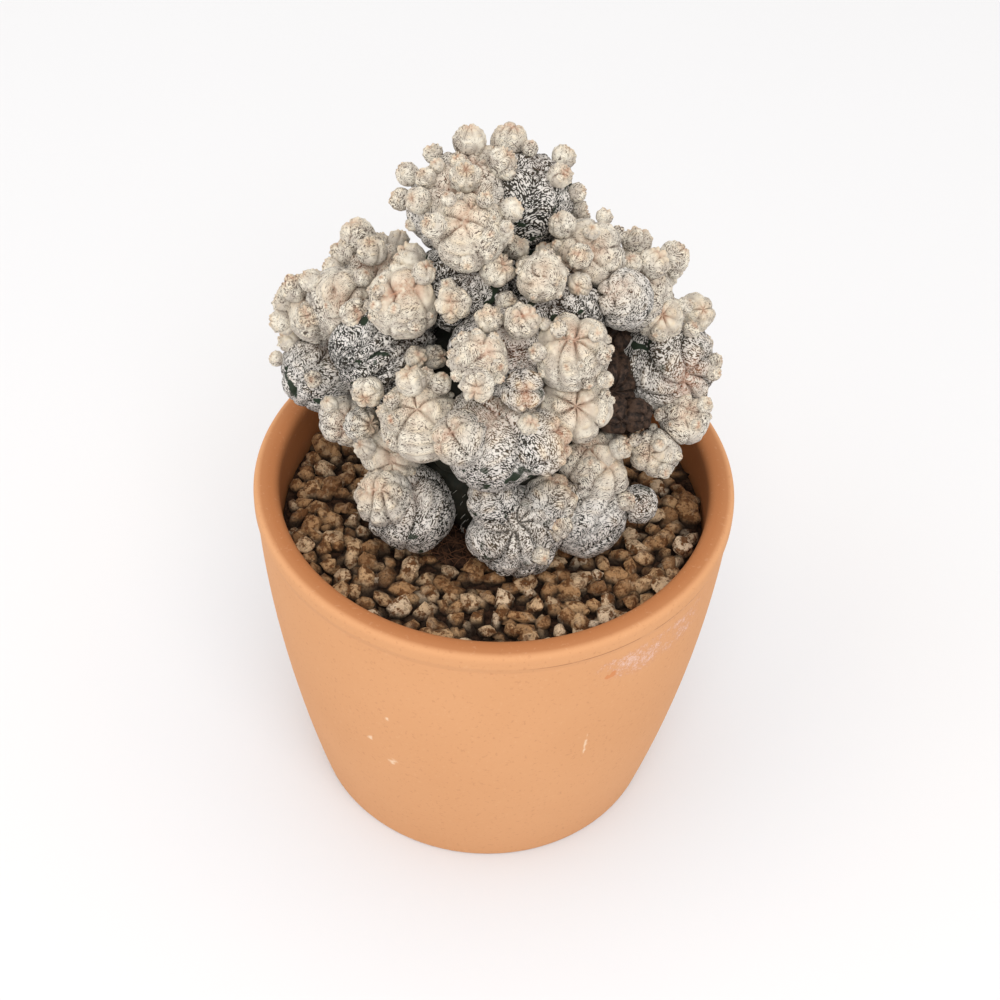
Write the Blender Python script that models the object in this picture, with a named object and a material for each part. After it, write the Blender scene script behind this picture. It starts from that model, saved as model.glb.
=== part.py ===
"""Potted round cactus: a clump of ribbed heads in a terracotta pot of soil under gravel.

Metres, +Z up. The origin is on the ground under the middle of the pot, and the front faces -Y.
"""

import math
from collections import namedtuple

import bmesh
import bpy
from mathutils import Matrix, Vector

MM = 0.001

# The pot.
POT_DIAMETER = 140 * MM  # over the lip
POT_HEIGHT = 115 * MM
FOOT_DIAMETER = 107 * MM
WALL = 6.5 * MM
FLOOR = 8 * MM
LIP_THICKNESS = 7.5 * MM
LIP_BAND = 9 * MM  # height of the band under the lip
LIP_LEDGE = 0.5 * MM  # how far that band stands out
FOOT_RING = 8 * MM  # width of the ring that the pot stands on
FOOT_RECESS = 2 * MM  # how far the middle of the underside is lifted
EDGE_ROUND = 3.5 * MM  # the rounded lower edge
DRAIN_DIAMETER = 14 * MM
BELLY = 1.8  # how soon the side turns upright: 1 is a plain cone
TURNS = 48  # facets round every turned piece

# The filling.
GAP = 0.3 * MM  # between pieces that touch
GRAVEL_DROP = 14 * MM  # from the lip down to the gravel
GRAVEL_DEPTH = 9 * MM
GRAVEL_LUMPS = 0.5 * MM
CROWN_SEAT_DIAMETER = 48 * MM  # the soil heaped under the plant
CROWN_SEAT_DROP = 1 * MM  # from the gravel down to the top of that heap

# The plant.
CLUMP_SCALE = 1.0  # multiplies every head in the table below
CROWN_RADIUS = 22 * MM
CROWN_RISE = 12 * MM  # from the soil up to the crown's middle
CROWN_BACK = 5 * MM  # how far the crown stands behind the pot's middle
SEAT_SHARE = 0.9  # where on a mother's radius a younger head is seated
BUD_RADIUS = 6 * MM  # heads below this size are buds, with fewer facets
HEAD_ROWS = (25, 50, 75, 100, 128, 156)  # degrees from a head's apex to each row of its facets
BUD_ROWS = (40, 80, 115, 150)
GROOVE_SHARE = 0.08  # of a head's radius
SHALLOW_GROOVE_SHARE = 0.04  # on a head with many ribs
MANY_RIBS = 9

GRAVEL_TOP = POT_HEIGHT - GRAVEL_DROP
SOIL_TOP = GRAVEL_TOP - GRAVEL_DEPTH
CROWN_SEAT_TOP = GRAVEL_TOP - CROWN_SEAT_DROP

# Each head grows on an older one, in the direction of its bearing (round from +X, seen from above)
# and its climb (up from level), both in degrees. Its middle lies seat times its own radius outside
# the older head. The radius is in millimetres.
Head = namedtuple("Head", "name mother bearing climb seat radius ribs colour")
HEADS = (
    Head("parent_body", "root_crown", 90, 90, 0.25, 25, 9, "dark"),
    Head("left_body", "parent_body", 170, 5, 0.2, 13, 7, "dark"),
    Head("right_body", "parent_body", 5, 10, 0.2, 13, 7, "dark"),
    Head("upper_body", "parent_body", 105, 60, 0.6, 16, 7, "dark"),
    Head("front_body", "parent_body", -80, 70, 0.2, 15, 7, "dark"),
    Head("belly_head", "parent_body", -90, 20, 0.05, 13.5, 6, "grey"),
    Head("low_left_head", "root_crown", -140, 5, 0.75, 12, 6, "grey"),
    Head("low_front_head", "root_crown", -75, 5, 0.4, 13, 7, "dark"),
    Head("low_right_head", "root_crown", -35, 5, 0.8, 12.5, 6, "grey"),
    Head("low_right_dark_head", "low_right_head", 5, 10, 0.6, 5.5, 5, "dark"),
    Head("low_left_upper_head", "low_left_head", 130, 55, 0.5, 8.5, 6, "cream"),
    Head("low_right_upper_head", "low_right_head", 90, 65, 0.5, 9.5, 6, "cream"),
    Head("left_ribbed_head", "left_body", -145, 65, 0.2, 14.5, 9, "dark"),
    Head("left_low_head", "left_body", 165, -10, 0.9, 12.5, 7, "dark"),
    Head("left_gravel_head", "left_low_head", -65, -20, 0.6, 7.5, 6, "grey"),
    Head("left_hind_head", "left_ribbed_head", 95, 30, 0.4, 11, 6, "grey"),
    Head("left_outer_head", "left_low_head", 120, 80, 0.75, 8.5, 6, "cream"),
    Head("left_folded_head", "left_ribbed_head", 145, 30, 0.3, 9.5, 5, "grey"),
    Head("dark_upper_head", "upper_body", -115, 30, 0.0, 13, 7, "dark"),
    Head("left_cream_head", "dark_upper_head", -150, 0, 0.6, 9.5, 5, "cream"),
    Head("dark_right_head", "front_body", 40, 20, 0.2, 14, 8, "dark"),
    Head("middle_star_head", "front_body", -115, 30, 0.6, 7.5, 5, "cream"),
    Head("middle_folded_head", "dark_right_head", -125, 65, 0.6, 6.5, 5, "cream"),
    Head("top_head", "upper_body", 165, 70, 0.6, 14, 7, "grey"),
    Head("top_right_head", "upper_body", 40, 60, 0.7, 13, 8, "dark"),
    Head("top_cream_head", "top_head", -80, 15, 0.45, 10, 6, "cream"),
    Head("right_back_head", "dark_right_head", 50, 40, 0.25, 10.5, 6, "grey"),
    Head("right_hind_head", "right_back_head", 15, -45, 0.8, 11, 6, "grey"),
    Head("right_big_head", "right_body", 20, 5, 0.6, 13.5, 5, "dark"),
    Head("right_small_head", "right_back_head", -45, -20, 0.55, 8, 5, "grey"),
    Head("right_middle_head", "dark_right_head", -75, 0, 0.35, 10.5, 7, "cream"),
    Head("right_pink_head", "right_big_head", 160, 80, 0.6, 7, 6, "cream"),
    Head("right_outer_head", "right_big_head", 50, 45, 0.7, 5.5, 5, "cream"),
    Head("right_lower_head", "right_big_head", -70, -20, 0.6, 7, 5, "grey"),
    Head("right_spiky_head", "right_lower_head", -140, -35, 0.7, 7, 5, "cream"),
    Head("star_left_head", "belly_head", 175, 5, 0.65, 11, 6, "cream"),
    Head("star_right_head", "belly_head", 15, 20, 0.85, 10.5, 6, "cream"),
    Head("hind_low_left_head", "root_crown", 120, 5, 0.7, 14, 7, "dark"),
    Head("hind_low_right_head", "root_crown", 55, 10, 0.75, 13, 7, "grey"),
    Head("hind_middle_head", "parent_body", 85, 10, 0.45, 14, 8, "grey"),
    Head("hind_left_head", "parent_body", 130, 15, 0.85, 13, 7, "grey"),
    Head("hind_right_head", "parent_body", 50, 15, 0.75, 13, 6, "dark"),
    Head("hind_outer_left_head", "hind_left_head", 175, -10, 0.55, 9, 6, "cream"),
    Head("hind_outer_right_head", "hind_right_head", 5, 10, 0.65, 9, 6, "cream"),
    Head("hind_top_head", "upper_body", 90, 25, 0.65, 10, 6, "cream"),
    Head("hind_top_right_head", "upper_body", 40, 15, 0.85, 9.5, 5, "grey"),
    Head("top_bud_left", "top_head", 80, 55, 0.8, 4.5, 5, "cream"),
    Head("top_bud_right", "top_right_head", 120, 50, 0.7, 5, 5, "cream"),
    Head("left_bud", "left_hind_head", 135, 45, 0.7, 5, 5, "cream"),
    Head("right_bud", "right_hind_head", 25, 35, 0.85, 4.5, 5, "cream"),
)

# Loose stones on the gravel along the wall: bearing in degrees, then length, width and height in mm.
Stone = namedtuple("Stone", "name bearing length width height turn")
STONES = (
    Stone("left_stone", 157, 9, 7, 5, 70),
    Stone("grey_stone", -160, 9, 5, 3.5, 40),
    Stone("front_stone", -80, 8, 7, 5, 15),
    Stone("square_stone", -31, 8, 7.5, 4, 30),
    Stone("pale_stone", -14, 9, 7, 4.5, 75),
)


def material(name, colour, roughness):
    made = bpy.data.materials.new(name)
    made.use_nodes = True
    shader = made.node_tree.nodes["Principled BSDF"]
    shader.inputs["Base Color"].default_value = (*colour, 1)
    shader.inputs["Roughness"].default_value = roughness
    shader.inputs["Metallic"].default_value = 0
    made.diffuse_color = (*colour, 1)
    return made


def add_object(name, mesh_maker, made_of):
    """The mesh that the maker leaves in a bmesh, closed and facing out, as one named object."""
    shape = bmesh.new()
    mesh_maker(shape)
    bmesh.ops.recalc_face_normals(shape, faces=shape.faces)
    if shape.calc_volume(signed=True) < 0:
        bmesh.ops.reverse_faces(shape, faces=shape.faces)
    mesh = bpy.data.meshes.new(name)
    shape.to_mesh(mesh)
    shape.free()
    mesh.materials.append(made_of)
    mesh.shade_smooth()
    mesh.set_sharp_from_angle(angle=math.radians(40))
    placed = bpy.data.objects.new(name, mesh)
    bpy.context.collection.objects.link(placed)
    return placed


# ---------------------------------------------------------------- the pot and what fills it


def outer_radius(height):
    """The pot's outside, from the foot's width to the lip's, turning upright as it climbs."""
    foot = FOOT_DIAMETER / 2
    share = min(max(height / POT_HEIGHT, 0), 1)
    return foot + (POT_DIAMETER / 2 - LIP_LEDGE - foot) * (1 - (1 - share) ** BELLY)


def inner_radius(height):
    """The pot's inside: a wall's width in, and no wider than the mouth."""
    return min(outer_radius(height) - WALL, POT_DIAMETER / 2 - LIP_THICKNESS)


def turned(profile, lumps=None):
    """A maker for a closed outline of (radius, height) points, turned round the Z axis."""

    def make(shape):
        rings = []
        for radius, height in profile:
            if radius == 0:
                rings.append([shape.verts.new((0, 0, height))])
                continue
            ring = []
            for turn in range(TURNS):
                angle = math.tau * turn / TURNS
                drop = lumps(radius, height, turn) if lumps else 0
                place = (radius * math.cos(angle), radius * math.sin(angle), height - drop)
                ring.append(shape.verts.new(place))
            rings.append(ring)
        for lower, upper in zip(rings, rings[1:] + rings[:1]):
            for turn in range(TURNS):
                after = (turn + 1) % TURNS
                if len(lower) == 1 and len(upper) == 1:
                    break
                if len(lower) == 1:
                    shape.faces.new((lower[0], upper[after], upper[turn]))
                elif len(upper) == 1:
                    shape.faces.new((lower[turn], lower[after], upper[0]))
                else:
                    shape.faces.new((lower[turn], lower[after], upper[after], upper[turn]))

    return make


def arc(middle_radius, middle_height, size, start, end, steps):
    """Points of (radius, height) on an arc, its angles in degrees from level outwards."""
    points = []
    for step in range(steps + 1):
        angle = math.radians(start + (end - start) * step / steps)
        along = middle_radius + size * math.cos(angle)
        points.append((along, middle_height + size * math.sin(angle)))
    return points


def pot_outline():
    foot = FOOT_DIAMETER / 2
    drain = DRAIN_DIAMETER / 2
    ring_inside = foot - EDGE_ROUND - FOOT_RING
    outline = [(drain, FOOT_RECESS), (ring_inside - FOOT_RECESS, FOOT_RECESS), (ring_inside, 0)]
    outline += arc(outer_radius(EDGE_ROUND) - EDGE_ROUND, EDGE_ROUND, EDGE_ROUND, -90, 0, 3)

    band_bottom = POT_HEIGHT - LIP_THICKNESS / 2 - LIP_BAND
    for share in (0.2, 0.4, 0.6, 0.8, 1):
        height = EDGE_ROUND + (band_bottom - EDGE_ROUND) * share
        outline.append((outer_radius(height), height))
    outline.append((POT_DIAMETER / 2 - LIP_LEDGE / 2, band_bottom + LIP_LEDGE))

    half = LIP_THICKNESS / 2
    outline += arc(POT_DIAMETER / 2 - half, POT_HEIGHT - half, half, 0, 180, 6)
    outline += [(inner_radius(height), height) for height in reversed([*soil_heights(), GRAVEL_TOP])]
    return [*outline, (drain, FLOOR)]


def soil_heights():
    """Where the inside wall bends, from the floor to the soil. What fills the pot bends there too."""
    return [FLOOR + (SOIL_TOP - FLOOR) * share for share in (0, 0.25, 0.5, 0.75, 1)]


def soil_outline():
    seat = CROWN_SEAT_DIAMETER / 2
    bottom = FLOOR + GAP
    side = [(inner_radius(height) - GAP, max(height, bottom)) for height in soil_heights()]
    return [(0, bottom), *side, (seat, SOIL_TOP), (seat - 2 * MM, CROWN_SEAT_TOP), (0, CROWN_SEAT_TOP)]


def gravel_outline():
    bottom = SOIL_TOP + GAP
    inside = CROWN_SEAT_DIAMETER / 2 + GAP
    outside = inner_radius(GRAVEL_TOP) - GAP
    top = [(outside + (inside - outside) * share, GRAVEL_TOP) for share in (0, 0.2, 0.4, 0.6, 0.8, 1)]
    return [(inside, bottom), (inner_radius(SOIL_TOP) - GAP, bottom), *top]


def gravel_lumps(radius, height, turn):
    """How far a point of the gravel's top is sunk, so that the top is uneven but never too high."""
    if height < GRAVEL_TOP:
        return 0
    wave = math.sin(turn * 2.4 + radius / MM) * math.cos(turn * 1.7 - radius / MM * 0.8)
    return GRAVEL_LUMPS * (0.5 + 0.5 * wave)


# ---------------------------------------------------------------- the stones


def stone(shape_of):
    """A maker for one angular stone, flat underneath, on the gravel beside the wall."""
    size = Vector((shape_of.length, shape_of.width, shape_of.height)) * MM / 2
    reach = inner_radius(GRAVEL_TOP) - 2 * GAP - max(size.x, size.y)
    bearing = math.radians(shape_of.bearing)
    turn = Matrix.Rotation(math.radians(shape_of.turn), 3, "Z")
    floor = GRAVEL_TOP + GAP
    middle = Vector((reach * math.cos(bearing), reach * math.sin(bearing), floor + size.z * 0.8))

    def make(shape):
        bmesh.ops.create_icosphere(shape, subdivisions=2, radius=1)
        for vert in shape.verts:
            way = vert.co.normalized()
            chip = math.sin(5 * way.x + shape_of.bearing) * math.sin(4 * way.y) * math.cos(6 * way.z)
            vert.co = middle + turn @ (way * size * (0.88 + 0.12 * chip))
            vert.co.z = max(vert.co.z, floor)

    return make


# ---------------------------------------------------------------- the plant


class Ball:
    """A head's place in the clump: its middle, radius, growing direction and older head."""

    def __init__(self, middle, radius, growing, mother=None):
        self.middle = middle
        self.radius = radius
        self.growing = growing
        self.mother = mother


def grown_clump():
    """Every head's ball by name, each placed on the older head that it grows from."""
    scale = CLUMP_SCALE
    crown = Vector((0, CROWN_BACK * scale, CROWN_SEAT_TOP + CROWN_RISE * scale))
    clump = {"root_crown": Ball(crown, CROWN_RADIUS * scale, Vector((0, 0, 1)))}
    for head in HEADS:
        mother = clump[head.mother]
        bearing, climb = math.radians(head.bearing), math.radians(head.climb)
        level = math.cos(climb)
        way = Vector((level * math.cos(bearing), level * math.sin(bearing), math.sin(climb)))
        radius = head.radius * MM * scale
        middle = mother.middle + way * (mother.radius + head.seat * radius)
        clump[head.name] = Ball(middle, radius, way, head.mother)
    return clump


def shared_plane(first, second, seated):
    """How far from the first ball's middle the plane between it and the second lies."""
    apart = (second.middle - first.middle).length
    crossing = (apart**2 + first.radius**2 - second.radius**2) / (2 * apart)
    if seated == "first on second":
        return max(crossing, apart - SEAT_SHARE * second.radius)
    if seated == "second on first":
        return min(crossing, SEAT_SHARE * first.radius)
    return crossing


def planes_of(name, clump):
    """The planes that bound a head, as (direction, distance) from its middle, a half gap in."""
    ball = clump[name]
    planes = []
    for other_name, other in clump.items():
        if other_name == name:
            continue
        away = other.middle - ball.middle
        family = "strangers"
        if ball.mother == other_name:
            family = "first on second"
        elif other.mother == name:
            family = "second on first"
        if family == "strangers" and away.length >= ball.radius + other.radius:
            continue
        planes.append((away.normalized(), shared_plane(ball, other, family) - GAP / 2))
    floor = CROWN_SEAT_TOP if name == "root_crown" else GRAVEL_TOP
    planes.append((Vector((0, 0, -1)), ball.middle.z - floor - GAP))
    return planes


def bounded(way, reach, planes):
    """How far a point may lie along a direction before it meets one of the planes."""
    for direction, distance in planes:
        toward = way.dot(direction)
        if toward > 0:
            reach = min(reach, distance / toward)
    return reach


def ribbed_head(name, clump, ribs):
    """A maker for a round head with a ridge and a groove for each rib, kept inside its planes."""
    ball = clump[name]
    planes = planes_of(name, clump)
    rows = BUD_ROWS if ball.radius < BUD_RADIUS * CLUMP_SCALE else HEAD_ROWS
    groove = SHALLOW_GROOVE_SHARE if ribs >= MANY_RIBS else GROOVE_SHARE
    turn = ball.growing.to_track_quat("Z", "Y")

    def make(shape):
        rings = []
        for row in rows:
            ring = []
            for column in range(2 * ribs):
                angle = math.pi * column / ribs
                polar = math.radians(row)
                across = math.sin(polar)
                way = Vector((across * math.cos(angle), across * math.sin(angle), math.cos(polar)))
                way.rotate(turn)
                free = ball.radius * (1 - groove * across * (column % 2))
                ring.append(shape.verts.new(ball.middle + way * bounded(way, free, planes)))
            rings.append(ring)
        apex_reach = bounded(ball.growing, ball.radius, planes)
        apex = shape.verts.new(ball.middle + ball.growing * apex_reach)
        base_reach = bounded(-ball.growing, seat_reach(ball, clump), planes)
        base = shape.verts.new(ball.middle - ball.growing * base_reach)
        count = 2 * ribs
        for column in range(count):
            after = (column + 1) % count
            shape.faces.new((rings[0][column], rings[0][after], apex))
            shape.faces.new((rings[-1][after], rings[-1][column], base))
            for upper, lower in zip(rings, rings[1:]):
                shape.faces.new((upper[column], lower[column], lower[after], upper[after]))
        bmesh.ops.triangulate(shape, faces=shape.faces)

    return make


def seat_reach(ball, clump):
    """How far the middle of a head's underside lies from its middle: all the way to its seat."""
    if ball.mother is None:
        return ball.radius
    return shared_plane(ball, clump[ball.mother], "first on second") - GAP / 2


# ---------------------------------------------------------------- the whole object


def main():
    for old in list(bpy.data.objects):
        bpy.data.objects.remove(old, do_unlink=True)

    terracotta = material("terracotta", (0.53, 0.21, 0.09), 0.85)
    soil = material("potting_mix", (0.035, 0.02, 0.012), 1)
    gravel = material("gravel", (0.3, 0.2, 0.12), 0.9)
    skins = {
        "stem": material("old_stem", (0.02, 0.03, 0.018), 0.8),
        "dark": material("flecked_skin_old", (0.2, 0.2, 0.18), 0.85),
        "grey": material("flecked_skin", (0.4, 0.39, 0.35), 0.85),
        "cream": material("flecked_skin_young", (0.62, 0.58, 0.48), 0.85),
    }

    add_object("pot", turned(pot_outline()), terracotta)
    add_object("potting_mix", turned(soil_outline()), soil)
    add_object("gravel_bed", turned(gravel_outline(), gravel_lumps), gravel)
    for shape_of in STONES:
        add_object(shape_of.name, stone(shape_of), gravel)

    clump = grown_clump()
    add_object("root_crown", ribbed_head("root_crown", clump, 8), skins["stem"])
    for head in HEADS:
        add_object(head.name, ribbed_head(head.name, clump, head.ribs), skins[head.colour])


main()
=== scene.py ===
"""A round cactus with many small heads, in a terracotta pot topped with gravel."""

import math

import bpy
import numpy as np
from mathutils import Matrix, Vector


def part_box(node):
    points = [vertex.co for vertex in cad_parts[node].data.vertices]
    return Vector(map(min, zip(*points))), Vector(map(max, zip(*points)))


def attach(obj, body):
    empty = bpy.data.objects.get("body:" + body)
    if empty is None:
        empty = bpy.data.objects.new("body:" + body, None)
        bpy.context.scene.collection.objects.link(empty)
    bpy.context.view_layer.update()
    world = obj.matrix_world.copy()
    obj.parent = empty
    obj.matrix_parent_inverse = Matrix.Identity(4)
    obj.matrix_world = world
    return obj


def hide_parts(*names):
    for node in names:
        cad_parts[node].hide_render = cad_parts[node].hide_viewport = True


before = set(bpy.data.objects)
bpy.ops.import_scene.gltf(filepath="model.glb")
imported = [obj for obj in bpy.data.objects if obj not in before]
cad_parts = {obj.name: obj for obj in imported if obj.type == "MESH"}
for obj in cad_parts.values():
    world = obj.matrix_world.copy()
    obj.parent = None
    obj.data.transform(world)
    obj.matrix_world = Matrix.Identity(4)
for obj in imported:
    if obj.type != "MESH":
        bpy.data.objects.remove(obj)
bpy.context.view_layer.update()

MM = 0.001

# The pot, as its potter would give it.
POT_LOW, POT_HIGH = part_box("pot")
POT_RADIUS = (POT_HIGH[0] - POT_LOW[0]) / 2
POT_HEIGHT = POT_HIGH[2]
FOOT_RADIUS = 53.5 * MM
WALL = 6.5 * MM
BORE_RADIUS = 62.5 * MM
BORE_TOP = POT_HEIGHT - 8 * MM
LIP_THICKNESS = 7.5 * MM
LIP_BAND = 5.8 * MM
LIP_LEDGE = 0.6 * MM
LEDGE_SLOPE = 1.2 * MM
POT_FLOOR = 8 * MM
FOOT_RING = 8 * MM
FOOT_RECESS = 2 * MM
DRAIN_RADIUS = 7 * MM
BELLY = 1.8

# The pot's scratches: bearing in degrees, lowest and highest point in mm, and width in degrees.
SCRATCHES = (
    (-120, 60, 63, 1.8),
    (-114, 75, 77, 1.4),
    (-114, 51, 55, 2.4),
    (-63, 57, 74, 1.1),
)

# The gravel: chips in layers on a bed of grit, larger stones with how pale each one is, and the
# bare soil at the stem.
GRAVEL_LEVEL = 101 * MM
CHIP_SIZE = 7.0 * MM
CHIP_SPACING = 4.8 * MM
CHIP_SHAPES = 8
GRAVEL_REACH = 62 * MM
GRAVEL_INSIDE = 21 * MM
GRIT_TOP = 98 * MM
GRIT_BOTTOM = 93 * MM
GRIT_INSIDE = 8 * MM
STONES = {
    "left_stone": 0.45,
    "grey_stone": 0.8,
    "front_stone": 0.9,
    "square_stone": 0.85,
    "pale_stone": 0.95,
}
SOIL_MIDDLE = np.array([-9.5, -16.0, 101.2]) * MM
SOIL_RADIUS = 9 * MM

# A skin's age runs from 0, all wool, to about 1, worn and dark. Past BODY_AGE it is an old body
# that younger heads lie over, past BARE_AGE an old stem without wool, painted near-black green
# up to CORK_AGE as the shade deep in the clump, and past CORK_AGE brown cork.
BODY_AGE = 1.05
BARE_AGE = 1.3
CORK_AGE = 1.55
BUD_AGE = 0.15

# Stray buds: none sits lower than STRAY_LOW, and nearer the front than STRAY_FRONT they are
# smaller, and only on young heads.
STRAY_SEED = 11
STRAY_TRIES = 700
STRAY_LOW = 112 * MM
STRAY_FRONT = 12 * MM

# How much fuller a head is drawn than its CAD ball, so that neighbours meet.
FULLNESS = 1.05
FULLER = {
    "belly_head": 1.16,
    "low_left_head": 1.1,
    "low_front_head": 1.08,
    "right_big_head": 1.1,
}

# Each head: its radius in mm, where its crown points (bearing, climb, degrees), its ribs, how
# deep they are cut, how far they turn, how long its crest is, its age, and how rosy and how
# cream its crown is.
HEADS = {
    "root_crown": (22, 0, 90, 16, 0.05, 0, 0.0, 1.5, 0.0, 0.0),
    "parent_body": (25, -90, 60, 13, 0.08, 10, 0.0, 1.4, 0.0, 0.0),
    "left_body": (13, -150, 50, 9, 0.10, 10, 0.0, 1.1, 0.0, 0.0),
    "right_body": (13, -60, 30, 9, 0.10, 0, 0.0, 1.6, 0.0, 0.0),
    "upper_body": (16, -80, 60, 10, 0.10, 10, 0.0, 0.95, 0.0, 0.0),
    "front_body": (15, -80, 50, 9, 0.14, 0, 0.4, 0.6, 0.3, 0.2),
    "belly_head": (13.5, -50, 80, 7, 0.14, 15, 0.5, 0.62, 0.4, 0.5),
    "low_left_head": (12, -170, 62, 6, 0.24, 50, 0.6, 0.62, 0.2, 0.3),
    "low_front_head": (13, -95, 50, 9, 0.26, 35, 0.1, 0.72, 0.0, 0.3),
    "low_right_head": (12.5, 60, 55, 8, 0.22, 30, 0.4, 0.48, 0.4, 0.5),
    "low_right_dark_head": (5.5, -90, 35, 5, 0.22, 30, 0.4, 0.65, 0.2, 0.3),
    "low_left_upper_head": (8.5, -85, 40, 6, 0.24, 0, 0.2, 0.20, 0.7, 0.6),
    "low_right_upper_head": (9.5, -100, 65, 6, 0.24, 0, 0.1, 0.20, 0.8, 0.7),
    "left_ribbed_head": (14.5, -20, 50, 13, 0.24, 0, 0.4, 0.98, 0.1, 0.1),
    "left_low_head": (12.5, -40, 70, 9, 0.20, 10, 0.3, 0.70, 0.2, 0.3),
    "left_gravel_head": (7.5, -85, 35, 6, 0.24, 0, 0.3, 0.35, 0.5, 0.5),
    "left_hind_head": (11, -110, 70, 8, 0.24, 0, 0.3, 0.45, 0.5, 0.5),
    "left_outer_head": (8.5, -115, 65, 6, 0.24, 0, 0.3, 0.20, 0.6, 0.6),
    "left_folded_head": (9.5, -65, 30, 4, 0.22, 60, 0.6, 0.25, 0.5, 0.6),
    "dark_upper_head": (13, -80, 65, 9, 0.16, 10, 0.2, 0.95, 0.1, 0.1),
    "left_cream_head": (9.5, -95, 65, 5, 0.24, 15, 0.4, 0.12, 0.9, 0.8),
    "dark_right_head": (14, -85, 65, 10, 0.16, 10, 0.3, 0.98, 0.1, 0.1),
    "middle_star_head": (7.5, -55, 65, 5, 0.24, 0, 0.2, 0.20, 0.7, 0.7),
    "middle_folded_head": (6.5, -95, 45, 4, 0.24, 80, 0.5, 0.12, 0.3, 0.6),
    "top_head": (14, -70, 75, 9, 0.16, 10, 0.4, 0.45, 0.7, 0.5),
    "top_right_head": (13, 30, 75, 7, 0.10, 5, 0.2, 1.00, 0.1, 0.1),
    "top_cream_head": (10, -110, 70, 7, 0.22, 0, 0.3, 0.18, 0.6, 0.8),
    "right_back_head": (10.5, -105, 40, 7, 0.22, 0, 0.4, 0.25, 0.7, 0.6),
    "right_hind_head": (11, -25, 75, 7, 0.20, 0, 0.3, 0.30, 0.6, 0.5),
    "right_big_head": (13.5, -60, 22, 6, 0.24, 55, 0.1, 0.78, 0.9, 0.5),
    "right_small_head": (8, -115, 55, 6, 0.26, 40, 0.3, 0.50, 0.4, 0.4),
    "right_middle_head": (10.5, -95, 65, 7, 0.24, 0, 0.1, 0.18, 0.9, 0.7),
    "right_pink_head": (7, -85, 45, 6, 0.24, 0, 0.0, 0.10, 1.0, 0.9),
    "right_outer_head": (5.5, -50, 50, 6, 0.24, 0, 0.0, 0.10, 0.9, 0.9),
    "right_lower_head": (7, -75, 65, 5, 0.24, 0, 0.3, 0.30, 0.5, 0.7),
    "right_spiky_head": (7, -115, 35, 5, 0.30, 0, 0.0, 0.25, 0.6, 0.8),
    "star_left_head": (11, -105, 65, 5, 0.24, 0, 0.0, 0.15, 0.6, 0.7),
    "star_right_head": (10.5, -85, 40, 6, 0.24, 0, 0.0, 0.15, 0.7, 0.7),
    "hind_low_left_head": (14, 110, 50, 8, 0.15, 10, 0.2, 0.65, 0.2, 0.2),
    "hind_low_right_head": (13, 60, 45, 7, 0.16, 0, 0.2, 0.50, 0.3, 0.3),
    "hind_middle_head": (14, 85, 50, 9, 0.16, 10, 0.3, 0.55, 0.3, 0.3),
    "hind_left_head": (13, 120, 60, 7, 0.18, 0, 0.3, 0.40, 0.4, 0.4),
    "hind_right_head": (13, 50, 55, 7, 0.18, 10, 0.2, 0.50, 0.3, 0.3),
    "hind_outer_left_head": (9, 150, 50, 6, 0.24, 0, 0.2, 0.20, 0.7, 0.7),
    "hind_outer_right_head": (9, 20, 50, 6, 0.24, 0, 0.2, 0.20, 0.7, 0.7),
    "hind_top_head": (10, 90, 60, 7, 0.22, 0, 0.2, 0.25, 0.6, 0.6),
    "hind_top_right_head": (9.5, 50, 60, 6, 0.22, 0, 0.2, 0.30, 0.5, 0.5),
    "top_bud_left": (4.5, 100, 80, 7, 0.26, 0, 0.0, 0.10, 0.9, 0.8),
    "top_bud_right": (5, 80, 75, 7, 0.26, 0, 0.3, 0.15, 0.9, 0.8),
    "left_bud": (5, 150, 60, 6, 0.26, 0, 0.2, 0.15, 0.8, 0.8),
    "right_bud": (4.5, 10, 50, 6, 0.26, 0, 0.0, 0.15, 0.8, 0.8),
}

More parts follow.
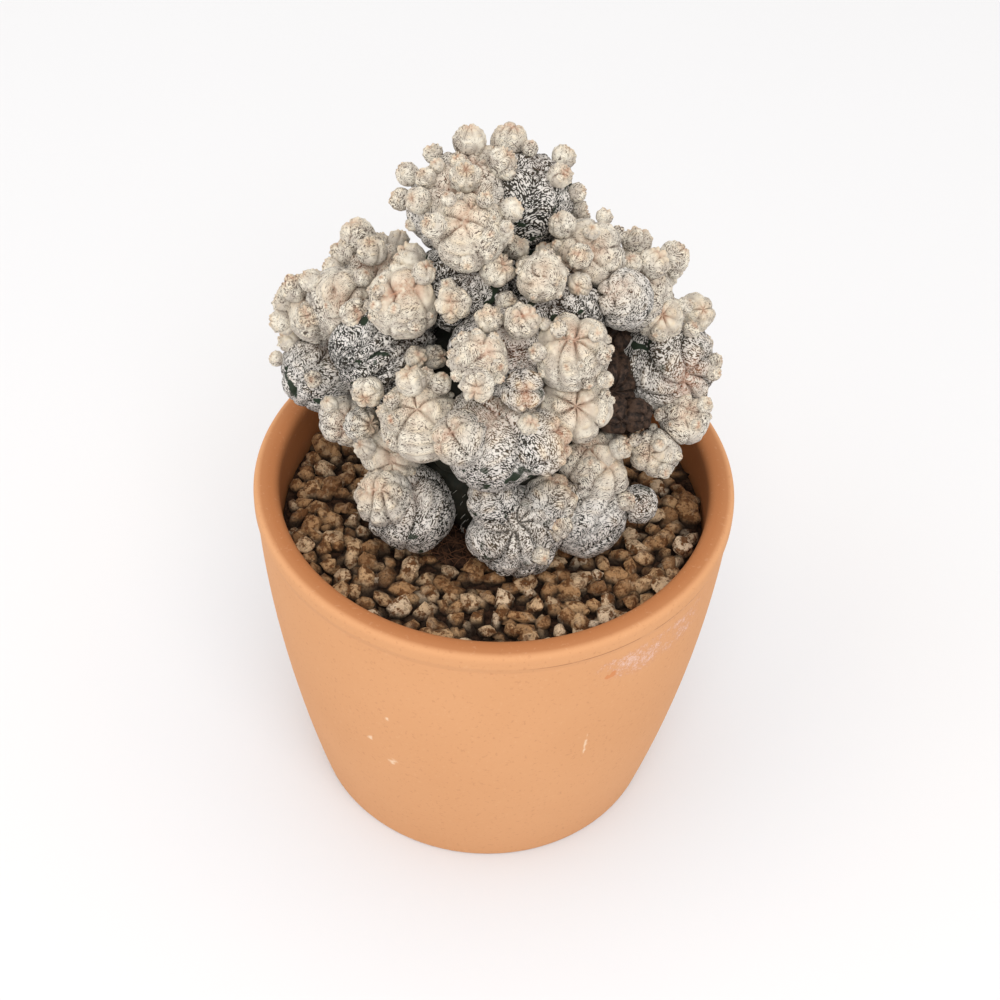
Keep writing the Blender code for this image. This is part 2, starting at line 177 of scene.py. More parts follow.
# The small buds on each head: bearing, climb, radius in mm, how far out it sits as a share of
# its radius, and its age where that isn't BUD_AGE.
BUDS = {
    "top_head": (
        (15, 50, 4.2, 0.7), (135, 45, 2.8, 0.7), (165, 25, 3.4, 0.8), (180, 5, 3.3, 0.7),
        (-80, 65, 4.4, 0.5), (-150, 85, 2.2, 0.6), (-155, 50, 3.0, 0.6), (-140, 30, 3.8, 0.6),
        (-170, 65, 2.2, 0.6),
    ),
    "top_right_head": (
        (35, 40, 3.5, 0.7), (85, 70, 2.4, 0.6), (-25, 50, 3.5, 0.6), (-10, 20, 2.7, 0.7),
        (-5, -5, 2.6, 0.7), (-140, 60, 2.6, 0.5),
    ),
    "top_cream_head": (
        (20, 25, 3.4, 0.7), (-150, 30, 3.6, 0.6), (10, 70, 2.3, 0.5), (170, 60, 2.2, 0.6),
        (-20, 25, 2.3, 0.5), (-90, -5, 2.2, 0.6),
    ),
    "left_hind_head": (
        (160, 30, 3.9, 0.7), (-135, 75, 4.4, 0.6), (175, 15, 3.1, 1.1), (60, 50, 3.0, 0.6),
    ),
    "dark_upper_head": (
        (170, 20, 4.7, 0.7), (175, 5, 2.4, 0.9), (-40, 45, 4.8, 0.6), (-100, 20, 5.0, 0.6),
        (-40, 10, 3.0, 0.7), (-110, 35, 2.1, 0.8),
    ),
    "left_cream_head": (
        (15, 60, 3.4, 0.4), (45, 40, 2.4, 0.8), (-70, 5, 2.1, 0.6), (-135, 25, 1.8, 0.6),
    ),
    "left_folded_head": ((-65, 20, 4.1, 0.5), (-5, 55, 2.7, 0.5)),
    "left_outer_head": (
        (165, 25, 2.8, 0.8), (175, 15, 3.0, 0.7), (-165, -5, 3.2, 0.8), (-165, -20, 2.5, 0.6),
        (-180, 55, 4.2, 0.6), (-100, 35, 4.2, 0.6),
    ),
    "left_low_head": ((178, 12, 2.3, 0.8), (-100, 30, 2.6, 0.6)),
    "left_ribbed_head": ((-100, -5, 4.6, 0.6), (-50, 25, 3.3, 0.7), (-30, 15, 3.6, 0.8)),
    "left_gravel_head": ((-150, 60, 2.6, 0.6), (-55, -5, 2.4, 0.6), (-45, 25, 5.4, 0.2, 0.3)),
    "star_left_head": (
        (150, 75, 4.4, 0.6), (30, 65, 3.2, 0.7), (-165, 50, 2.4, 0.6), (-135, 35, 2.0, 0.6),
        (80, 70, 2.6, 1.0),
    ),
    "front_body": (
        (-130, 65, 3.8, 0.7), (-60, 65, 4.9, 0.6), (-20, 45, 2.3, 0.6),
        (-75, 5, 6.2, 0.4, 0.75),
    ),
    "upper_body": ((-35, 60, 3.8, 0.6),),
    "dark_right_head": ((110, 50, 2.8, 0.8), (140, 40, 2.5, 0.6)),
    "right_body": (
        (-65, 0, 5.6, 0.0, 1.6), (-45, 0, 5.0, 0.6, 1.6), (-80, 20, 4.4, 0.3, 1.6),
        (55, 45, 4.5, 0.3, 1.6),
    ),
    "middle_star_head": ((-90, 5, 4.6, 0.6),),
    "belly_head": ((-40, 45, 3.2, 0.7), (-25, 15, 9.2, 0.0, 0.55), (-140, 25, 8.2, 0.0, 0.35)),
    "right_back_head": (
        (-105, 40, 3.7, 0.6), (-100, 5, 3.5, 0.6), (175, 55, 4.0, 0.6), (60, 50, 2.4, 0.7),
        (-85, 75, 2.4, 0.6),
    ),
    "right_hind_head": (
        (85, 50, 4.4, 0.6), (-20, 65, 4.4, 0.5), (-110, 75, 3.2, 0.5), (15, 25, 2.4, 0.9),
    ),
    "right_big_head": ((-25, 15, 2.3, 0.8), (5, 65, 2.6, 0.6)),
    "right_middle_head": (
        (-140, 65, 2.4, 0.6), (175, 50, 1.8, 0.7), (-30, 55, 2.1, 0.6), (-145, 25, 2.6, 0.6),
        (-40, 25, 2.2, 0.6), (-40, -10, 2.4, 0.7),
    ),
    "right_lower_head": ((0, 50, 2.5, 0.5),),
    "right_spiky_head": ((-75, 5, 2.2, 0.6), (-170, 40, 2.0, 0.6)),
    "low_left_head": ((-180, 30, 3.4, 0.5), (155, 25, 2.6, 0.6), (-145, 45, 8.4, 0.0, 0.3)),
    "low_left_upper_head": ((-150, 40, 3.4, 0.5), (160, 25, 2.4, 0.7)),
    "low_right_upper_head": ((-20, 35, 3.6, 0.5),),
    "low_right_head": (
        (-15, 35, 2.8, 0.6), (30, 70, 8.2, 0.0, 0.25), (-130, 20, 5.0, 0.1, 0.3),
    ),
    "low_front_head": ((-60, 10, 2.6, 0.4), (20, 45, 8.0, 0.0, 0.4), (180, 60, 7.8, 0.0, 0.65)),
}


# ---- small helpers


def heading(bearing, climb):
    """The direction with this bearing round the pot and this climb above level, in degrees."""
    b = math.radians(bearing)
    c = math.radians(climb)
    return np.array([math.cos(b) * math.cos(c), math.sin(b) * math.cos(c), math.sin(c)])


def unit(vector):
    return vector / np.linalg.norm(vector)


def ease(low, high, value):
    """0 below low, 1 above high, smooth between."""
    t = np.clip((value - low) / (high - low), 0, 1)
    return t * t * (3 - 2 * t)


def rumple(points, size, seed, waves=10):
    """A smooth random field over the points, from -1 to 1, with lumps of about this size."""
    rng = np.random.default_rng(seed)
    total = np.zeros(len(points))
    for _ in range(waves):
        way = unit(rng.normal(size=3)) * rng.uniform(0.6, 1.4) * math.pi / size
        total += np.sin(points @ way + rng.uniform(0, 2 * math.pi))
    return total / math.sqrt(waves) * 0.75


def new_mesh(name, points, faces, attributes, materials, smooth=True):
    """A plain mesh object at the origin with point attributes, shown in the scene."""
    mesh = bpy.data.meshes.new(name)
    mesh.from_pydata(points.tolist(), [], faces)
    for title, values in attributes.items():
        layer = mesh.attributes.new(title, "FLOAT", "POINT")
        layer.data.foreach_set("value", np.ascontiguousarray(values, dtype=np.float32))
    for material in materials:
        mesh.materials.append(material)
    if smooth:
        mesh.shade_smooth()
    return show(name, mesh)


def show(name, data):
    """An object in the scene with this mesh, lamp or camera."""
    thing = bpy.data.objects.new(name, data)
    bpy.context.scene.collection.objects.link(thing)
    return thing


def settle(piece, node):
    """The piece rides on the one body and stands for this CAD node, which is hidden."""
    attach(piece, "root")
    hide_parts(node)


def lathe(outline, around):
    """Points of an outline, reach and height, turned round the pot's axis, ring by ring."""
    turn = np.arange(around) * 2 * np.pi / around
    reach = outline[:, 0][:, None]
    height = np.repeat(outline[:, 1][:, None], around, 1)
    return np.stack([reach * np.cos(turn), reach * np.sin(turn), height], 2).reshape(-1, 3)


def lathe_faces(around, rows):
    """Faces of a turned outline that closes on itself."""
    ring = np.arange(around)
    after = (ring + 1) % around
    faces = []
    for row in range(rows):
        a = row * around
        b = ((row + 1) % rows) * around
        faces += np.stack([a + ring, a + after, b + after, b + ring], 1).tolist()
    return faces


def ball_angles(around, rows, crowd):
    """Angle from the crown and bearing of a ball's points, rows closer near the crown."""
    theta = np.pi * (np.arange(1, rows + 1) / (rows + 1)) ** crowd
    phi = np.tile(np.arange(around) * 2 * np.pi / around, rows)
    return np.array([0, *np.repeat(theta, around), np.pi]), np.array([0, *phi, 0])


def ball_faces(around, rows):
    """Faces of a ball: two poles and rows of points round it, facing outwards."""
    ring = np.arange(around)
    after = (ring + 1) % around
    top = 0
    bottom = 1 + rows * around
    faces = np.stack([np.full(around, top), 1 + ring, 1 + after], 1).tolist()
    for row in range(rows - 1):
        a = 1 + row * around
        b = a + around
        faces += np.stack([a + ring, b + ring, b + after, a + after], 1).tolist()
    last = 1 + (rows - 1) * around
    faces += np.stack([last + ring, np.full(around, bottom), last + after], 1).tolist()
    return faces


# ---- the heads


def ball_of(node):
    """Centre and radius of the ball that a head was cut from: its ridges lie on it.

    Four of its outermost points make a ball, and of the balls of its size that hold the whole
    head the one that the most points lie on is the right one.
    """
    size = HEADS[node][0] * MM
    points = np.unique(np.round([v.co[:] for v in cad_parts[node].data.vertices], 6), axis=0)
    rng = np.random.default_rng(5)
    outer = points[np.unique(np.argmax(points @ rng.normal(size=(3, 900)), axis=0))]
    picks = outer[rng.integers(len(outer), size=(9000, 4))]
    sides = 2 * (picks[:, 1:] - picks[:, :1])
    squares = (picks[:, 1:] ** 2).sum(2) - (picks[:, :1] ** 2).sum(2)
    sound = np.abs(np.linalg.det(sides)) > 1e-10
    centres = np.linalg.solve(sides[sound], squares[sound][:, :, None])[:, :, 0]
    radii = np.linalg.norm(picks[sound][:, 0] - centres, axis=1)
    centres = centres[np.abs(radii - size) < 0.1 * MM]
    off = np.linalg.norm(outer[None] - centres[:, None], axis=2) - size
    fault = np.clip(off, 0, None).max(1) * 50 / MM - (np.abs(off) < 0.05 * MM).sum(1)
    return centres[np.argmin(fault)], size


def ribbed_ball(centre, radius, crown, looks, seed, around, rows, rivals=(), knobs=(0.05, 0.36)):
    """Points and looks of one ribbed head: ribs run down from a dimpled crown, with knobs on them.

    rivals are heads of its own size that it presses against: centre and radius of each.
    knobs are how far they stand out and how far apart they are, as shares of the radius.
    """
    ribs, groove, turn, crest, age, rosy, cream = looks
    knob_height, spacing = knobs
    rng = np.random.default_rng(seed)
    side = unit(np.cross(crown, heading(rng.uniform(0, 360), 20)))
    other = np.cross(crown, side)
    theta, phi = ball_angles(around, rows, 1.12)
    outward = (
        np.outer(np.sin(theta) * np.cos(phi), side)
        + np.outer(np.sin(theta) * np.sin(phi), other)
        + np.outer(np.cos(theta), crown)
    )
    sway = 0.16 * rumple(outward, 1.3, seed + 1) + 0.05 * rumple(outward, 0.5, seed + 2)
    swing = phi + math.radians(turn) * theta + sway
    for wave in (1, 2, 3):
        swing = swing + rng.uniform(0.08, 0.2) / wave * np.sin(wave * phi + rng.uniform(0, 6.28))
    x = theta * np.cos(swing)
    y = theta * np.sin(swing)
    near = np.clip(x, -crest, crest)
    angle = np.arctan2(np.abs(y), x - near)
    arc = 0.6 * angle + crest - near
    length = 0.6 * 2 * np.pi + 4 * crest
    arc = np.where(y >= 0, arc, length - arc)
    depth_in = np.hypot(x - near, y)
    split = np.abs(np.sin(np.pi * ribs * arc / length))
    lobe = np.sqrt(np.clip(1 - (1 - split) ** 2, 0, 1))
    fade = 0.6 + 0.7 * np.exp(-((depth_in / 0.75) ** 2))
    fade = fade * (1 - ease(2.0, 2.9, theta)) * ease(0.0, 0.12, depth_in)
    fade = fade * (1 + 0.3 * rumple(outward, 0.7, seed + 3))
    notches = 2 * np.pi * (depth_in - 0.5 * spacing) / spacing + rumple(outward, 0.8, seed + 4)
    notches = np.cos(notches)
    knob = np.clip(split, 0, 1) ** 3 * np.clip(notches, 0, 1) ** 1.5 * ease(0.15, 0.4, depth_in)
    knob = knob * (1 - ease(1.3, 1.9, theta))
    wrinkle = 3 * np.pi * ribs * arc / length + 0.8 * rumple(outward, 0.5, seed + 7)
    wrinkle = np.abs(np.sin(wrinkle))
    reach = 1 - groove * fade * (1 - lobe) - 0.022 * fade * (1 - wrinkle) ** 2
    reach = reach - 0.18 * np.exp(-((depth_in / 0.20) ** 2))
    reach = reach + knob_height * knob
    reach = reach + 0.035 * rumple(outward, 0.9, seed + 5)
    reach = reach + 0.02 * rumple(outward, 0.35, seed + 6)
    reach = reach / np.percentile(reach, 88) * radius
    pressed = np.zeros(len(reach))
    soft = 0.05 * radius
    for rival_centre, rival_radius in rivals:
        gap = np.linalg.norm(rival_centre - centre)
        toward = (rival_centre - centre) / gap
        stop = (gap**2 + radius**2 - rival_radius**2) / (2 * gap) - 0.1 * MM
        lean = outward @ toward
        limit = np.where(lean > 0.05, max(stop, 0.25 * radius) / np.maximum(lean, 0.05), 9.0)
        limit = np.minimum(limit, 4 * radius)
        pressed = np.maximum(pressed, np.exp(-np.clip(limit - reach, 0, None) / (0.12 * radius)))
        reach = -soft * np.logaddexp(-reach / soft, -limit / soft)
    points = centre + outward * reach[:, None]
    crease = (1 - lobe) ** 1.6 * np.clip(fade, 0, 1.2)
    down = ease(0.7, 2.0, theta)
    fresh = 0.2 * np.exp(-((depth_in / 0.45) ** 2)) * rosy
    looks_now = {
        "age": age * (0.75 + 0.35 * down) - fresh + (age > BARE_AGE),
        # crease: groove depth, raised where heads press; painted shade and wider flecks follow it.
        "crease": np.clip(crease + 0.6 * pressed**2, 0, 1.3),
        "cream": cream * (np.exp(-((depth_in / 0.75) ** 2)) * (0.4 + 0.6 * lobe) + 0.8 * knob),
        "rosy": rosy * np.exp(-((depth_in / 0.34) ** 2)) * (0.6 + 0.45 * (1 - lobe)),
        "flow": (theta * 0.9 + 0.45 * split * np.sin(theta)) * radius / MM,
        # Old stems between BARE_AGE and CORK_AGE are marked for painted shade: drawn nearly black.
        "bare_patch_and_stem_shade": np.full(len(reach), 1.0 if BARE_AGE < age < CORK_AGE else 0.0),
    }
    return points, looks_now


def join_shells(shells):
    """One set of points, faces and looks from several closed shells."""
    points = []
    faces = []
    looks = {}
    start = 0
    for shell_points, shell_faces, shell_looks in shells:
        points.append(shell_points)
        faces += [[corner + start for corner in face] for face in shell_faces]
        for title, values in shell_looks.items():
            looks.setdefault(title, []).append(values)
        start += len(shell_points)
    joined = {title: np.concatenate(values) for title, values in looks.items()}
    return np.concatenate(points), faces, joined


def grid_for(radius):
    """How finely a head of this size is drawn: points round it and rows down it."""
    if radius > 12 * MM:
        return 132, 76
    if radius > 8 * MM:
        return 104, 60
    if radius > 4 * MM:
        return 64, 38
    return 44, 26


def bud_shell(centre, radius, crown, age, seed):
    """One small bud: a ribbed ball with seeded ribs and knobs."""
    rng = np.random.default_rng(seed)
    looks = (
        int(rng.integers(5, 9)),
        rng.uniform(0.24, 0.36),
        rng.uniform(-20, 20),
        rng.choice([0.0, 0.2, 0.4]),
        age,
        rng.uniform(0.6, 1.0),
        rng.uniform(0.6, 1.0),
    )
    if age > BARE_AGE:
        looks = (*looks[:5], 0.0, 0.0)
    around, rows = grid_for(radius)
    knobs = (rng.uniform(0.07, 0.16) if radius < 5.5 * MM else 0.06, rng.uniform(0.5, 0.8))
    points, shades = ribbed_ball(centre, radius, crown, looks, seed, around, rows, (), knobs)
    return points, ball_faces(around, rows), shades


def placed_buds(balls):
    """Every small bud, by mother head: the ones given above, then a few seeded strays."""
    found = {}
    taken = []
    number = 500
    for mother, rows in BUDS.items():
        centre, radius = balls[mother]
        for bearing, climb, bud_mm, out, *age in rows:
            way = heading(bearing, climb)
            size = bud_mm * MM
            spot = centre + way * (radius + out * size)
            crown = unit(way + [0, 0, 0.25])
            found.setdefault(mother, []).append((spot, size, crown, (*age, BUD_AGE)[0], number))
            taken.append((spot, size))
            number += 1
    rng = np.random.default_rng(STRAY_SEED)
    mothers = [name for name, row in HEADS.items() if balls[name][1] > 6 * MM and row[7] < 0.9]
    for _ in range(STRAY_TRIES):
        mother = mothers[int(rng.integers(len(mothers)))]
        centre, radius = balls[mother]
        way = unit(rng.normal(size=3) + [0, 0, 0.5])
        size = rng.uniform(1.5, 3.6) * MM
        spot = centre + way * (radius + 0.3 * size)
        if spot[1] < STRAY_FRONT:
            size = size * 0.6
            spot = centre + way * radius
            if HEADS[mother][7] > 0.3:
                continue
        if spot[2] < STRAY_LOW or way[2] < -0.25:
            continue
        clear = all(
            np.linalg.norm(spot - c) > r + 0.55 * size
            for name, (c, r) in balls.items()
            if name != mother
        )
        clear = clear and all(np.linalg.norm(spot - c) > 0.95 * (r + size) for c, r in taken)
        if not clear or np.dot(way, heading(*HEADS[mother][1:3])) > 0.86:
            continue
        crown = unit(way + [0, 0, 0.2])
        found.setdefault(mother, []).append((spot, size, crown, BUD_AGE, number))
        taken.append((spot, size))
        number += 1
    return found


def grow_heads(skin):
    """Every head with its buds, pressed against the heads beside it."""
    balls = {name: ball_of(name) for name in HEADS}
    buds = placed_buds(balls)
    for number, (name, row) in enumerate(HEADS.items()):
        centre, radius = balls[name]
        rivals = []
        for other, (c, r) in balls.items():
            gap = np.linalg.norm(c - centre)
            behind = HEADS[other][7] > BODY_AGE > row[7]
            if other != name and not behind and gap < radius + r and r > 0.72 * radius:
                rivals.append((c, r))
        around, rows = grid_for(radius)
        full = radius * FULLER.get(name, FULLNESS)
        crown = heading(row[1], row[2])
        looks = row[3:]
        points, shades = ribbed_ball(centre, full, crown, looks, 40 + number, around, rows, rivals)
        shells = [(points, ball_faces(around, rows), shades)]
        for bud in buds.get(name, []):
            shells.append(bud_shell(*bud))
        points, faces, shades = join_shells(shells)
        settle(new_mesh(name + "_skin", points, faces, shades, [skin]), name)


# ---- materials


class Maker:
    """A material being put together: add nodes, join sockets."""

    def __init__(self, name):
        self.material = bpy.data.materials.new(name)
        self.material.use_nodes = True
        self.tree = self.material.node_tree
        self.shader = self.tree.nodes["Principled BSDF"]

    def put(self, kind, **settings):
        """A new node of this kind."""
        node = self.tree.nodes.new(kind)
        for key, value in settings.items():
            setattr(node, key, value)
        return node

    def join(self, source, target):
        self.tree.links.new(source, target)

    def sum(self, kind, first, second=0.0, third=None, clamp=False):
        """One arithmetic step on numbers or sockets."""
        node = self.put("ShaderNodeMath", operation=kind, use_clamp=clamp)
        for index, value in enumerate((first, second, third)):
            if value is None:
                continue
            if isinstance(value, (int, float)):
                node.inputs[index].default_value = value
            else:
                self.join(value, node.inputs[index])
        return node.outputs[0]

    def times(self, first, second, plus=None, clamp=False):
        """first times second, and a third added where there is one."""
        kind = "MULTIPLY" if plus is None else "MULTIPLY_ADD"
        return self.sum(kind, first, second, plus, clamp)

    def grain(self, scale, detail=0.0, distortion=0.0, rough=0.5):
        """Noise at this many lumps to the metre."""
        node = self.put("ShaderNodeTexNoise")
        node.inputs["Scale"].default_value = scale
        node.inputs["Detail"].default_value = detail
        node.inputs["Roughness"].default_value = rough
        node.inputs["Distortion"].default_value = distortion
        self.join(self.place(), node.inputs["Vector"])
        return node.outputs["Fac"]

    def place(self):
        """The point's own place on the piece, in metres."""
        if not hasattr(self, "spot"):
            self.spot = self.put("ShaderNodeTexCoord").outputs["Object"]
        return self.spot

    def worn(self, title):
        """A value that the mesh carries at each point."""
        node = self.put("ShaderNodeAttribute", attribute_name=title)
        return node.outputs["Fac"]

    def level(self):
        """The point's place, one number for each axis."""
        node = self.put("ShaderNodeSeparateXYZ")
        self.join(self.place(), node.inputs[0])
        return node.outputs

    def step(self, value, low, high):
        """0 to 1 as the value goes from low to high, smoothly."""
        node = self.put("ShaderNodeMapRange", interpolation_type="SMOOTHSTEP")
        self.join(value, node.inputs["Value"])
        for socket, limit in (("From Min", low), ("From Max", high)):
            if isinstance(limit, (int, float)):
                node.inputs[socket].default_value = limit
            else:
                self.join(limit, node.inputs[socket])
        return node.outputs["Result"]

    def blend(self, amount, first, second):
        """Colour mixed from first to second."""
        node = self.put("ShaderNodeMix", data_type="RGBA")
        self.join(amount, node.inputs[0])
        for index, colour in ((6, first), (7, second)):
            if isinstance(colour, tuple):
                node.inputs[index].default_value = (*colour, 1)
            else:
                self.join(colour, node.inputs[index])
        return node.outputs[2]

    def finish(self, colour, roughness, height=None, distance=0.0001, strength=0.6, specular=0.3):
        """Join the colour and the relief to the shader, and give the material."""
        self.join(colour, self.shader.inputs["Base Color"])
        self.shader.inputs["Roughness"].default_value = roughness
        self.shader.inputs["Specular IOR Level"].default_value = specular
        if height is not None:
            bump = self.put("ShaderNodeBump")
            bump.inputs["Distance"].default_value = distance
            bump.inputs["Strength"].default_value = strength
            self.join(height, bump.inputs["Height"])
            self.join(bump.outputs["Normal"], self.shader.inputs["Normal"])
        return self.material


def flecked_skin():
    """Dark green skin under white wool flecks, showing more in the creases of old heads. Painted
    shade darkens the deepest creases and turns the old stem nearly black.
    """
    make = Maker("flecked_cactus_skin")
    age = make.worn("age")
    crease = make.worn("crease")
    cream = make.worn("cream")
    rosy = make.worn("rosy")
    flow = make.times(make.worn("flow"), 6.4)
    flow = make.times(make.grain(260, 1.0), 18.0, flow)
    lines = make.sum("SINE", flow)
    winding = make.times(lines, 0.10, make.grain(860, 0.0, 0.8))
    from_line = make.sum("ABSOLUTE", make.sum("SUBTRACT", winding, 0.5))
    old = make.step(age, 0.15, 0.75)
    width = make.times(make.grain(110, 1.5), 0.15, -0.049)
    width = make.times(age, 0.112, width)
    width = make.times(make.times(crease, old), 0.13, width)
    thin = make.sum("SUBTRACT", width, 0.016)
    thick = make.sum("ADD", width, 0.010)
    dark = make.step(from_line, thick, thin)
    # Patches of green skin where older heads have lost their wool.
    bare_patch_and_stem_shade = make.step(make.grain(230, 0.5), 0.665, 0.70)
    bare_patch_and_stem_shade = make.times(bare_patch_and_stem_shade, make.step(age, 0.45, 0.65))
    wool = make.blend(make.grain(420, 2.0), (0.56, 0.525, 0.485), (0.78, 0.745, 0.70))
    young = make.step(make.grain(330, 3.0), 0.35, 0.65)
    young = make.blend(young, (0.52, 0.46, 0.39), (0.78, 0.725, 0.615))
    wool = make.blend(make.step(age, 0.5, 0.1), wool, young)
    wool = make.blend(make.times(cream, 0.62, clamp=True), wool, (0.74, 0.60, 0.41))
    tan = make.times(make.step(crease, 0.15, 0.8), make.step(age, 0.6, 0.2))
    wool = make.blend(make.times(tan, 0.75), wool, (0.27, 0.185, 0.125))
    flesh = make.blend(make.grain(160, 1.0), (0.007, 0.008, 0.006), (0.030, 0.027, 0.021))
    flesh = make.blend(make.times(cream, 0.8, clamp=True), flesh, (0.30, 0.20, 0.12))
    flesh = make.blend(make.step(age, 0.4, 0.1), flesh, (0.13, 0.10, 0.08))
    colour = make.blend(dark, wool, flesh)
    colour = make.blend(bare_patch_and_stem_shade, colour, (0.018, 0.030, 0.016))
    cork = make.step(make.grain(600, 3.0, rough=0.7), 0.35, 0.65)
    cork = make.blend(cork, (0.012, 0.007, 0.005), (0.075, 0.043, 0.028))
    colour = make.blend(make.step(age, 1.1, 1.16), colour, cork)
    # Painted shade: old stems between BARE_AGE and CORK_AGE go nearly black green.
    colour = make.blend(make.times(make.worn("bare_patch_and_stem_shade"), 0.85), colour, (0.010, 0.013, 0.008))
    blush = make.times(rosy, make.step(make.grain(700, 1.0), 0.25, 0.6), clamp=True)
    blush = make.times(blush, make.step(age, 1.0, 0.9))
    colour = make.blend(blush, colour, (0.40, 0.155, 0.08))
    # Painted shade: the deepest creases, and where a head presses on its neighbour, go dark brown.
    shade = make.times(make.step(crease, 0.5, 1.1), 0.6)
    colour = make.blend(shade, colour, (0.05, 0.037, 0.027))
    height = make.sum("SUBTRACT", make.times(make.grain(2600, 1.0), 0.4), dark)
    return make.finish(colour, 0.72, height, 0.00018, 0.6, 0.25)


def terracotta():
    """Pale orange clay: lime and a dark stain under the lip, a worn seam, a chip and scratches,
    and painted shade on the inner wall and across the lip's top towards the bore.
    """
    make = Maker("terracotta")
    cloud = make.grain(22, 3.0)
    speck = make.grain(900, 2.0)
    colour = make.blend(cloud, (0.62, 0.30, 0.135), (0.70, 0.36, 0.175))
    # Painted shade: the inner wall and the inner part of the lip's top are drawn darker.
    colour = make.blend(make.worn("inside"), colour, (0.42, 0.155, 0.053))
    light_speck = make.times(make.step(speck, 0.62, 0.74), 0.12)
    colour = make.blend(light_speck, colour, (0.80, 0.52, 0.32))
    dark_speck = make.times(make.step(speck, 0.40, 0.28), 0.25)
    colour = make.blend(dark_speck, colour, (0.42, 0.17, 0.07))
    lime = make.times(make.grain(500, 6.0, rough=0.8), 2.6, -1.3)
    lime = make.times(make.grain(110, 3.0), 1.7, lime)
    lime = make.times(make.worn("lime"), 1.35, lime)
    stain = make.times(make.step(lime, 1.85, 2.5), 0.4)
    colour = make.blend(stain, colour, (0.52, 0.205, 0.095))
    lime = make.times(make.grain(1700, 3.0, rough=0.7), 1.6, lime)
    lime = make.step(lime, 2.85, 3.6)
    colour = make.blend(make.times(lime, 0.6), colour, (0.82, 0.62, 0.55))
    level = make.level()
    rise = make.sum("SUBTRACT", level["Z"], POT_HEIGHT - LIP_BAND + 0.6 * MM)
    seam = make.step(make.sum("ABSOLUTE", rise), 0.32 * MM, 0.08 * MM)
    seam = make.times(seam, make.step(make.grain(90, 4.0, rough=0.6), 0.42, 0.52))
    seam = make.times(seam, make.step(level["X"], 8 * MM, 24 * MM))
    colour = make.blend(make.times(seam, 0.7), colour, (0.28, 0.105, 0.04))
    chipped = make.times(make.grain(500, 2.0), 0.9, make.worn("chipped"))
    chipped = make.step(chipped, 1.05, 1.2)
    colour = make.blend(chipped, colour, (0.62, 0.25, 0.10))
    scratch = make.times(make.grain(600, 2.0), 0.8, make.worn("scratch"))
    scratch = make.step(scratch, 0.95, 1.3)
    colour = make.blend(make.times(scratch, 0.8), colour, (0.86, 0.66, 0.47))
    height = make.sum("ADD", speck, make.times(make.grain(2200, 1.0), 0.5))
    height = make.sum("SUBTRACT", height, make.times(chipped, 1.2))
    return make.finish(colour, 0.78, height, 0.00006, 0.5, 0.2)


def gravel_stone():
    """Brown to cream stone, each chip in its own tint, grimy, and painted dark as shade where it
    lies deep.
    """
    make = Maker("gravel_stone")
    grime = make.grain(420, 4.0, rough=0.7)
    pores = make.grain(1300, 2.0)
    ramp = make.put("ShaderNodeValToRGB")
    ramp.color_ramp.elements[0].color = (0.28, 0.145, 0.062, 1)
    ramp.color_ramp.elements[1].color = (0.80, 0.63, 0.45, 1)
    for position, colour in (
        (0.35, (0.44, 0.245, 0.11, 1)),
        (0.65, (0.56, 0.35, 0.18, 1)),
        (0.88, (0.66, 0.47, 0.29, 1)),
    ):
        ramp.color_ramp.elements.new(position).color = colour
    make.join(make.worn("tint"), ramp.inputs[0])
    colour = make.blend(make.step(grime, 0.46, 0.58), ramp.outputs[0], (0.15, 0.062, 0.020))
    pale = make.step(make.grain(240, 3.0, rough=0.6), 0.52, 0.68)
    colour = make.blend(make.times(pale, 0.4), colour, (0.66, 0.48, 0.30))
    pit = make.times(make.step(pores, 0.42, 0.32), 0.6)
    colour = make.blend(pit, colour, (0.07, 0.040, 0.022))
    # Painted shade: chips go nearly black low in the bed, in the gaps between the others.
    deep = make.times(grime, 0.0016, make.level()["Z"])
    deep = make.step(deep, GRAVEL_LEVEL + 1.5 * MM, GRAVEL_LEVEL - 0.9 * MM)
    colour = make.blend(make.times(deep, 0.95), colour, (0.016, 0.008, 0.004))
    height = make.sum("ADD", make.times(pores, 0.6), grime)
    return make.finish(colour, 0.8, height, 0.0011, 1.0, 0.25)


def soil():
    """Dark crumbly potting mix."""
    make = Maker("potting_soil")
    crumbs = make.grain(420, 3.0, rough=0.7)
    crumb = make.step(crumbs, 0.35, 0.7)
    colour = make.blend(crumb, (0.012, 0.006, 0.004), (0.07, 0.035, 0.02))
    return make.finish(colour, 0.95, crumbs, 0.0012, 0.9, 0.1)


def coir():
    """Reddish brown coconut fibre."""
    make = Maker("coir")
    colour = make.blend(make.grain(300, 1.0), (0.035, 0.014, 0.008), (0.17, 0.075, 0.035))
    return make.finish(colour, 0.85, specular=0.2)


def white_bristle():
    """The pale spines of the old stem."""
    make = Maker("white_bristle")
    colour = make.blend(make.grain(400, 1.0), (0.50, 0.48, 0.42), (0.72, 0.70, 0.64))
    return make.finish(colour, 0.7, specular=0.2)


def pale_floor():
    """White board, painted cooler close to the pot to offset the orange light the clay throws on
    it.
    """
    make = Maker("pale_floor")
    away = make.put("ShaderNodeVectorMath", operation="LENGTH")
    make.join(make.place(), away.inputs[0])
    # Painted light: a bluish tint near the pot cancels the orange light reflected from the clay.
    near = make.step(away.outputs["Value"], 0.17, 0.05)
    colour = make.blend(make.grain(6, 1.0), (0.79, 0.787, 0.79), (0.80, 0.797, 0.80))
    colour = make.blend(near, colour, (0.765, 0.80, 0.835))
    return make.finish(colour, 0.9, specular=0.1)


# ---- the pot


